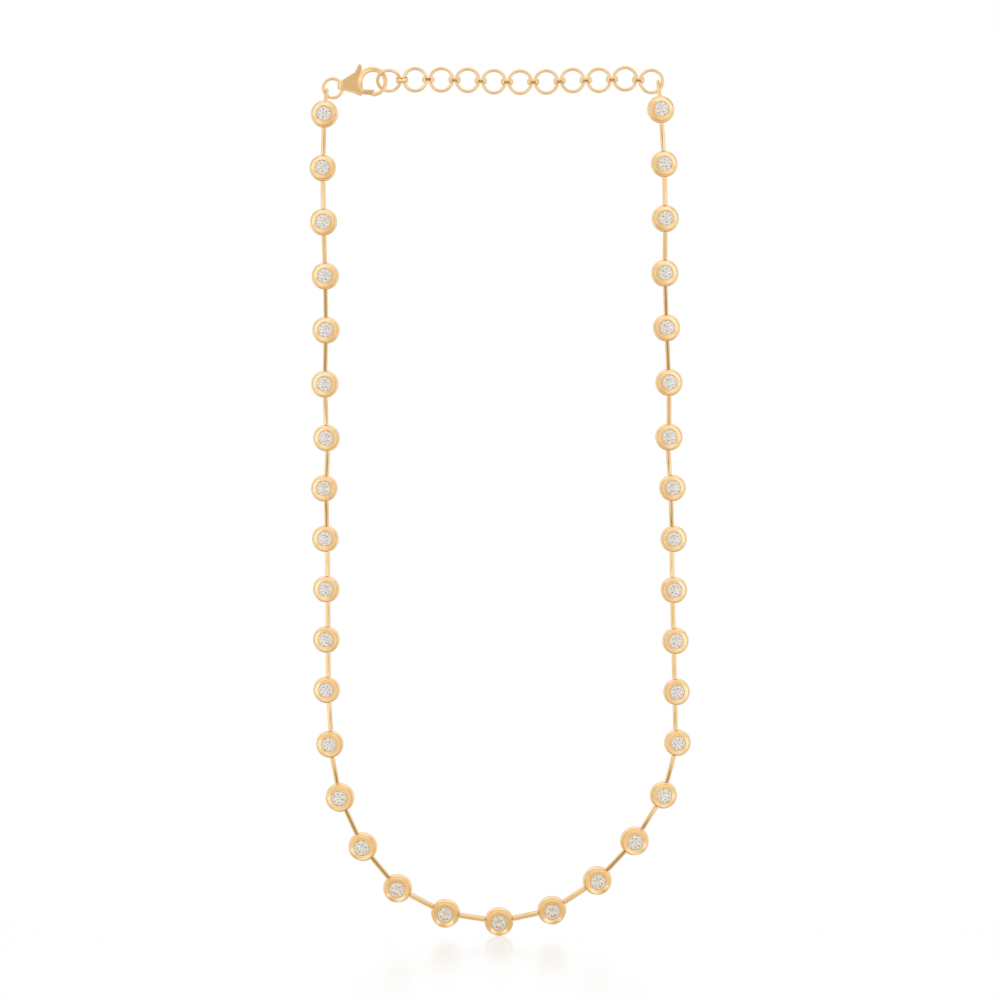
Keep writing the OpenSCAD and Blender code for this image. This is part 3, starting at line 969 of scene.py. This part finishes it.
def plate(outline, half_depth):
    """Extrudes an outline through the clasp's plane."""
    bm = bmesh.new()
    face = bm.faces.new([bm.verts.new((x * MM, -half_depth, z * MM)) for x, z in outline])
    made = bmesh.ops.extrude_face_region(bm, geom=[face])["geom"]
    verts = [g for g in made if isinstance(g, bmesh.types.BMVert)]
    bmesh.ops.translate(bm, vec=(0, 2 * half_depth, 0), verts=verts)
    bmesh.ops.recalc_face_normals(bm, faces=bm.faces)
    return bm


def between(table, place):
    """Values of a table at a place in its first column, on straight lines between its rows."""
    for low, high in zip(table, table[1:]):
        if place <= high[0]:
            share = max(0, (place - low[0]) / (high[0] - low[0]))
            return [a + (b - a) * share for a, b in zip(low[1:], high[1:])]
    return list(table[-1][1:])


def squared(share, square):
    """Moves a place on a round section toward that of a rounded square."""
    squarest = 0.65
    return math.copysign(abs(share) ** (1 - squarest * square), share)


def hook_shape():
    """The tapered hook: a tube spun round the hook's middle, then drawn in by the table."""
    first, last = HOOK[0][0], HOOK[-1][0]
    path_r = 3 * MM
    bm = bmesh.new()
    place = turn(math.radians(-first), "Y") @ shift(path_r, 0, 0)
    bmesh.ops.create_circle(bm, segments=32, radius=MM, matrix=place)
    bmesh.ops.spin(
        bm, geom=bm.verts[:] + bm.edges[:], cent=(0, 0, 0), axis=Y_AXIS,
        angle=math.radians(first - last), steps=110,
    )
    for vert in bm.verts:
        degrees = math.degrees(angle_of(vert.co))
        if degrees < first - 1:
            degrees += 360
        inside, outside, inner_depth, outer_depth, square = between(HOOK, degrees)
        across = squared((math.hypot(vert.co.x, vert.co.z) - path_r) / MM, square)
        deep = squared(vert.co.y / MM, square)
        depth = (inner_depth + outer_depth + across * (outer_depth - inner_depth)) / 2
        radius = (inside + outside + across * (outside - inside)) / 2
        vert.co = along(math.radians(degrees)) * radius * MM + Vector((0, deep * depth * MM, 0))
    close_ends(bm)
    bmesh.ops.recalc_face_normals(bm, faces=bm.faces)
    return moved(bm, shift(HOOK_AT[0] * MM, 0, HOOK_AT[1] * MM))


def body_shape(sizes):
    """Wedge of the clasp's body: thicker toward the hook, chamfered along its lower edges."""
    bm = plate(BODY, sizes.ridge_t)
    left = min(v.co.x for v in bm.verts)
    right = BODY[1][0] * MM
    for vert in bm.verts:
        share = min(1, (vert.co.x - left) / (right - left))
        half = sizes.tail_t + (sizes.ridge_t - sizes.tail_t) * share
        vert.co.y = math.copysign(half, vert.co.y)
    long_edges = [e for e in bm.edges if reach(e, 0) > MM]
    lower = [e for e in long_edges if max(v.co.z for v in e.verts) < -1.9 * MM]
    soften(bm, lower, sizes.chamfer, segments=1)
    return bm


def cast(bm, sizes, tools, rounds):
    """Fuses shapes as a casting and rounds its edges."""
    solid = combined(bm, tools)
    holder = shape_object(solid)
    remesh = holder.modifiers.new("Cast", "REMESH")
    remesh.mode = "VOXEL"
    remesh.voxel_size = sizes.voxel
    smooth = holder.modifiers.new("Polish", "SMOOTH")
    smooth.factor = 0.5
    smooth.iterations = rounds
    return modified(holder)


def gate_block():
    """Everything on the lever's side of the face where it meets the hook's tip."""
    far = 1.5 * MM
    place = shift(GATE_AT[0] * MM, 0, GATE_AT[1] * MM) @ turn(math.radians(-GATE_SLOPE), "Y")
    return moved(block((-far, -MM, 0), (far, MM, far)), place)


class NECKLACE_OT_clasp(bpy.types.Operator):
    """Makes the cast body and the lever of the lobster clasp"""

    bl_idname = "necklace.clasp"
    bl_label = "Clasp"

    def execute(self, context):
        sizes = context.scene.necklace_clasp
        look = context.scene.necklace_gold
        finish = finish_named("clasp_satin_gold")
        shape = self.body(context, sizes)
        unevened(shape, look.uneven, size=1.4 * MM, seed=11)
        piece("clasp_casting", shape, finish, ["clasp_body"], sharp=60)
        lever = bmesh.new()
        lever.from_mesh(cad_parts["clasp_lever"].data)
        bmesh.ops.remove_doubles(lever, verts=lever.verts, dist=WELD)
        fin = plate(FIN, 0.98 * sizes.lever_t / 2)
        lever = cast(lever, sizes, [("UNION", fin)], LEVER_POLISH)
        finish = finish_named()
        piece("clasp_trigger", lever, finish, ["clasp_lever"], "lever", sharp=60)
        return {"FINISHED"}

    def body(self, context, sizes):
        """Hook, wedge and knuckle as one casting, with its slot and channel."""
        extender = context.scene.necklace_extender
        hook = combined(hook_shape(), [("DIFFERENCE", gate_block())])
        step_in = 0.08 * MM
        top = BODY[0][1] * MM - step_in
        foot = BODY[-1][1] * MM + step_in
        place = shift(BODY[0][0] * MM - 0.22 * MM, 0, (top + foot) / 2)
        knuckle = rod(2 * sizes.knuckle_r, top - foot, place, sides=64)
        rims = [e for e in knuckle.edges if reach(e, 2) < 0.1 * MM]
        soften(knuckle, rims, offset=0.22 * MM, segments=4)
        channel = moved(wire_ring(extender.jump_d, 2 * sizes.bore_r), jump_ring_place())
        play = 0.05 * MM
        slot = plate(LEVER_SLOT, sizes.lever_t / 2 + play)
        joins = [("UNION", knuckle), ("UNION", hook)]
        cuts = [("DIFFERENCE", channel), ("DIFFERENCE", slot)]
        return cast(body_shape(sizes), sizes, joins + cuts, BODY_POLISH)


# Surround as the metal mirrors it: degrees from the way to the camera, and the light's colour.
SURROUND = [
    (0, (0.40, 0.32, 0.22)), (4, (0.43, 0.35, 0.25)), (8, (0.68, 0.61, 0.51)),
    (12, (0.80, 0.76, 0.70)), (16, (0.98, 0.96, 0.94)), (20, (1.12, 1.14, 1.18)),
    (30, (1.16, 1.20, 1.28)), (36, (1.04, 1.05, 1.08)), (42, (0.84, 0.80, 0.75)),
    (47, (0.76, 0.70, 0.62)), (54, (0.86, 0.83, 0.79)), (66, (0.98, 0.99, 0.99)),
    (76, (0.90, 0.90, 0.89)), (84, (0.76, 0.73, 0.68)), (92, (0.82, 0.81, 0.80)),
    (102, (1.00, 1.04, 1.10)), (115, (0.98, 1.02, 1.08)), (130, (0.76, 0.75, 0.74)),
    (148, (0.64, 0.61, 0.57)), (156, (0.80, 0.79, 0.78)), (163, (1.00, 1.00, 1.00)),
    (180, (1.00, 1.00, 1.00)),
]
# Parts that change it, in order, with the colour that each blends to and how far: the dusk under
# the object, a card over the camera, the light overhead and the camera's dark stand.
PARTS = [
    ((0.38, 0.32, 0.25, 1), 0.68),
    ((0.62, 0.52, 0.40, 1), 0.40),
    ((1.14, 1.19, 1.26, 1), 0.60),
    ((0.40, 0.31, 0.20, 1), 0.85),
]
# Painted shade on the floor as the metal mirrors it: a dim tint farther off and a darker one near
# the necklace.
FLOOR_PAINTED_SHADE = (0.88, 0.79, 0.63, 1)
FLOOR_PAINTED_DEEP_SHADE = (0.74, 0.64, 0.49, 1)
WHITE = (1, 1, 1, 1)


def set_surround(world, light):
    """White to the camera; in reflections a white cove behind and a ring of soft light in front."""
    tree = Tree(world)
    way = tree.node("ShaderNodeTexCoord", output="Generated")
    height = tree.part(way, "Z")
    ahead = 0 - tree.part(way, "Y")
    angle = tree.node("ShaderNodeMath", {"operation": "ARCCOSINE"}, {0: ahead})
    stops = [(degrees / 180, shade) for degrees, shade in SURROUND]
    shade = tree.ramp(angle * (1 / math.pi), stops)
    dusk = tree.ramp(0 - height, [(0.45, 0), (0.90, 1)])
    card = tree.ramp(height, [(0.15, 0), (0.30, 1), (0.45, 1), (0.60, 0)])
    card = card * tree.ramp(ahead, [(0.5, 0), (0.8, 1)])
    overhead = tree.ramp(height, [(0.6, 0), (0.8, 1)])
    stand = tree.ramp(height * 0.5 + 0.5, [(0.30, 0), (0.37, 1), (0.53, 1), (0.57, 0)])
    stand = stand * tree.ramp(abs(tree.part(way, "X")), [(0.07, 1), (0.16, 0)])
    stand = stand * tree.ramp(ahead, [(0.80, 0), (0.88, 1)])
    for mask, (tint, strength) in zip((dusk, card, overhead, stand), PARTS):
        shade = tree.blend(mask * strength, shade, tint)
    soft = tree.node("ShaderNodeBackground", {}, {"Color": shade, "Strength": light})
    white = tree.node("ShaderNodeBackground", {}, {"Color": WHITE, "Strength": 1.0})
    seen = tree.node("ShaderNodeLightPath", output="Is Camera Ray")
    tree.node("ShaderNodeOutputWorld", {}, {"Surface": tree.mix(seen, soft, white)})


def floor_finish(sizes):
    """Lit white floor with a faint mirror image that fades to the front and the back.

    In reflections the metal sees painted shade on the floor close by, darkest near the necklace,
    and the surround in its place farther off.
    """
    material, tree, where = started("white_floor_painted_shade")
    depth = tree.part(where, "Y")
    near = tree.ramp(1 + depth * (1 / sizes.fade), [(0.0, 0), (1.0, 1)])
    near = near * tree.ramp(depth * (1 / sizes.fade), [(0.1, 1), (1.0, 0)])
    grain = tree.noise(where, FLOOR_GRAIN, detail=3)
    lit = tree.node("ShaderNodeEmission", {}, {"Color": WHITE, "Strength": 1.0})
    sockets = {"Color": WHITE, "Roughness": FLOOR_ROUGH + grain * TONE_ROUGH}
    mirror = tree.node("ShaderNodeBsdfAnisotropic", {}, sockets)
    seen = tree.node("ShaderNodeLightPath", output="Is Camera Ray")
    through = tree.node("ShaderNodeBsdfTransparent")
    # Painted shade: for reflected rays the floor near the necklace glows dim, and darker still
    # close to it, in place of the shade that falls there.
    deep_shade_share = tree.ramp(1 + depth * (1 / sizes.painted_deep_shade_reach), [(0.2, 0), (0.65, 1)])
    shade = tree.blend(deep_shade_share, FLOOR_PAINTED_SHADE, FLOOR_PAINTED_DEEP_SHADE)
    painted_shade_glow = tree.node("ShaderNodeEmission", {}, {"Color": shade})
    close = tree.ramp(1 + depth * (1 / sizes.painted_shade_reach), [(0.0, 0), (0.5, 1)])
    before = tree.ramp(depth * (1 / sizes.painted_shade_reach), [(0.0, 1), (0.05, 0)])
    lower = tree.mix(close * before, through, painted_shade_glow)
    shown = tree.mix(seen, lower, tree.mix(near * sizes.mirror, lit, mirror))
    tree.node("ShaderNodeOutputMaterial", {}, {"Surface": shown})
    return material


class NECKLACE_OT_stage(bpy.types.Operator):
    """Sets the white floor, the soft surround that lights the scene, and the camera"""

    bl_idname = "necklace.stage"
    bl_label = "Stage"

    def execute(self, context):
        sizes = context.scene.necklace_stage
        self.floor(sizes)
        world = bpy.data.worlds.new("white_surround")
        context.scene.world = world
        set_surround(world, sizes.light)
        context.scene.view_settings.view_transform = "Standard"
        self.camera(context, sizes)
        return {"FINISHED"}

    def floor(self, sizes):
        """Square floor just under the lowest setting."""
        bm = bmesh.new()
        bmesh.ops.create_grid(bm, x_segments=4, y_segments=4, size=sizes.floor_size / 2)
        bmesh.ops.translate(bm, vec=(0, 0, cad_low.z - sizes.floor_gap), verts=bm.verts)
        floor = shape_object(bm, "floor")
        floor.data.materials.append(floor_finish(sizes))

    def camera(self, context, sizes):
        """Camera level with the middle of the view, looking along +Y."""
        lens = bpy.data.cameras.new("camera")
        lens.lens = lens.sensor_width * sizes.distance / sizes.view_width
        lens.clip_start = 0.01
        camera = bpy.data.objects.new("camera", lens)
        camera.location = (sizes.view_x, -sizes.distance, sizes.view_z)
        camera.rotation_euler = (math.pi / 2, 0, 0)
        context.scene.collection.objects.link(camera)
        context.scene.camera = camera


OPERATORS = (
    NECKLACE_OT_settings,
    NECKLACE_OT_stones,
    NECKLACE_OT_bars,
    NECKLACE_OT_rings,
    NECKLACE_OT_links,
    NECKLACE_OT_clasp,
    NECKLACE_OT_stage,
)
PROPERTIES = {
    "necklace_bezels": BezelSizes,
    "necklace_bars": BarSizes,
    "necklace_extender": ExtenderSizes,
    "necklace_clasp": ClaspSizes,
    "necklace_gold": GoldLook,
    "necklace_stones": StoneLook,
    "necklace_stage": StageSizes,
}


class NECKLACE_PT_panel(bpy.types.Panel):
    """Lists the pieces of the necklace and their sizes"""

    bl_idname = "NECKLACE_PT_panel"
    bl_label = "Necklace"
    bl_space_type = "VIEW_3D"
    bl_region_type = "UI"
    bl_category = "Necklace"

    def draw(self, context):
        for operator in OPERATORS:
            self.layout.operator(operator.bl_idname)
        for name, group in PROPERTIES.items():
            box = self.layout.box()
            box.label(text=group.__name__)
            for field in group.__annotations__:
                box.prop(getattr(context.scene, name), field)


CLASSES = (*PROPERTIES.values(), *OPERATORS, NECKLACE_PT_panel)


def register():
    for each in CLASSES:
        bpy.utils.register_class(each)
    for name, group in PROPERTIES.items():
        setattr(bpy.types.Scene, name, PointerProperty(type=group))


def unregister():
    for name in PROPERTIES:
        delattr(bpy.types.Scene, name)
    for each in reversed(CLASSES):
        bpy.utils.unregister_class(each)


def main():
    register()
    bpy.ops.necklace.settings()
    bpy.ops.necklace.stones()
    bpy.ops.necklace.bars()
    bpy.ops.necklace.rings()
    bpy.ops.necklace.links()
    bpy.ops.necklace.clasp()
    bpy.ops.necklace.stage()


if __name__ == "__main__":
    main()
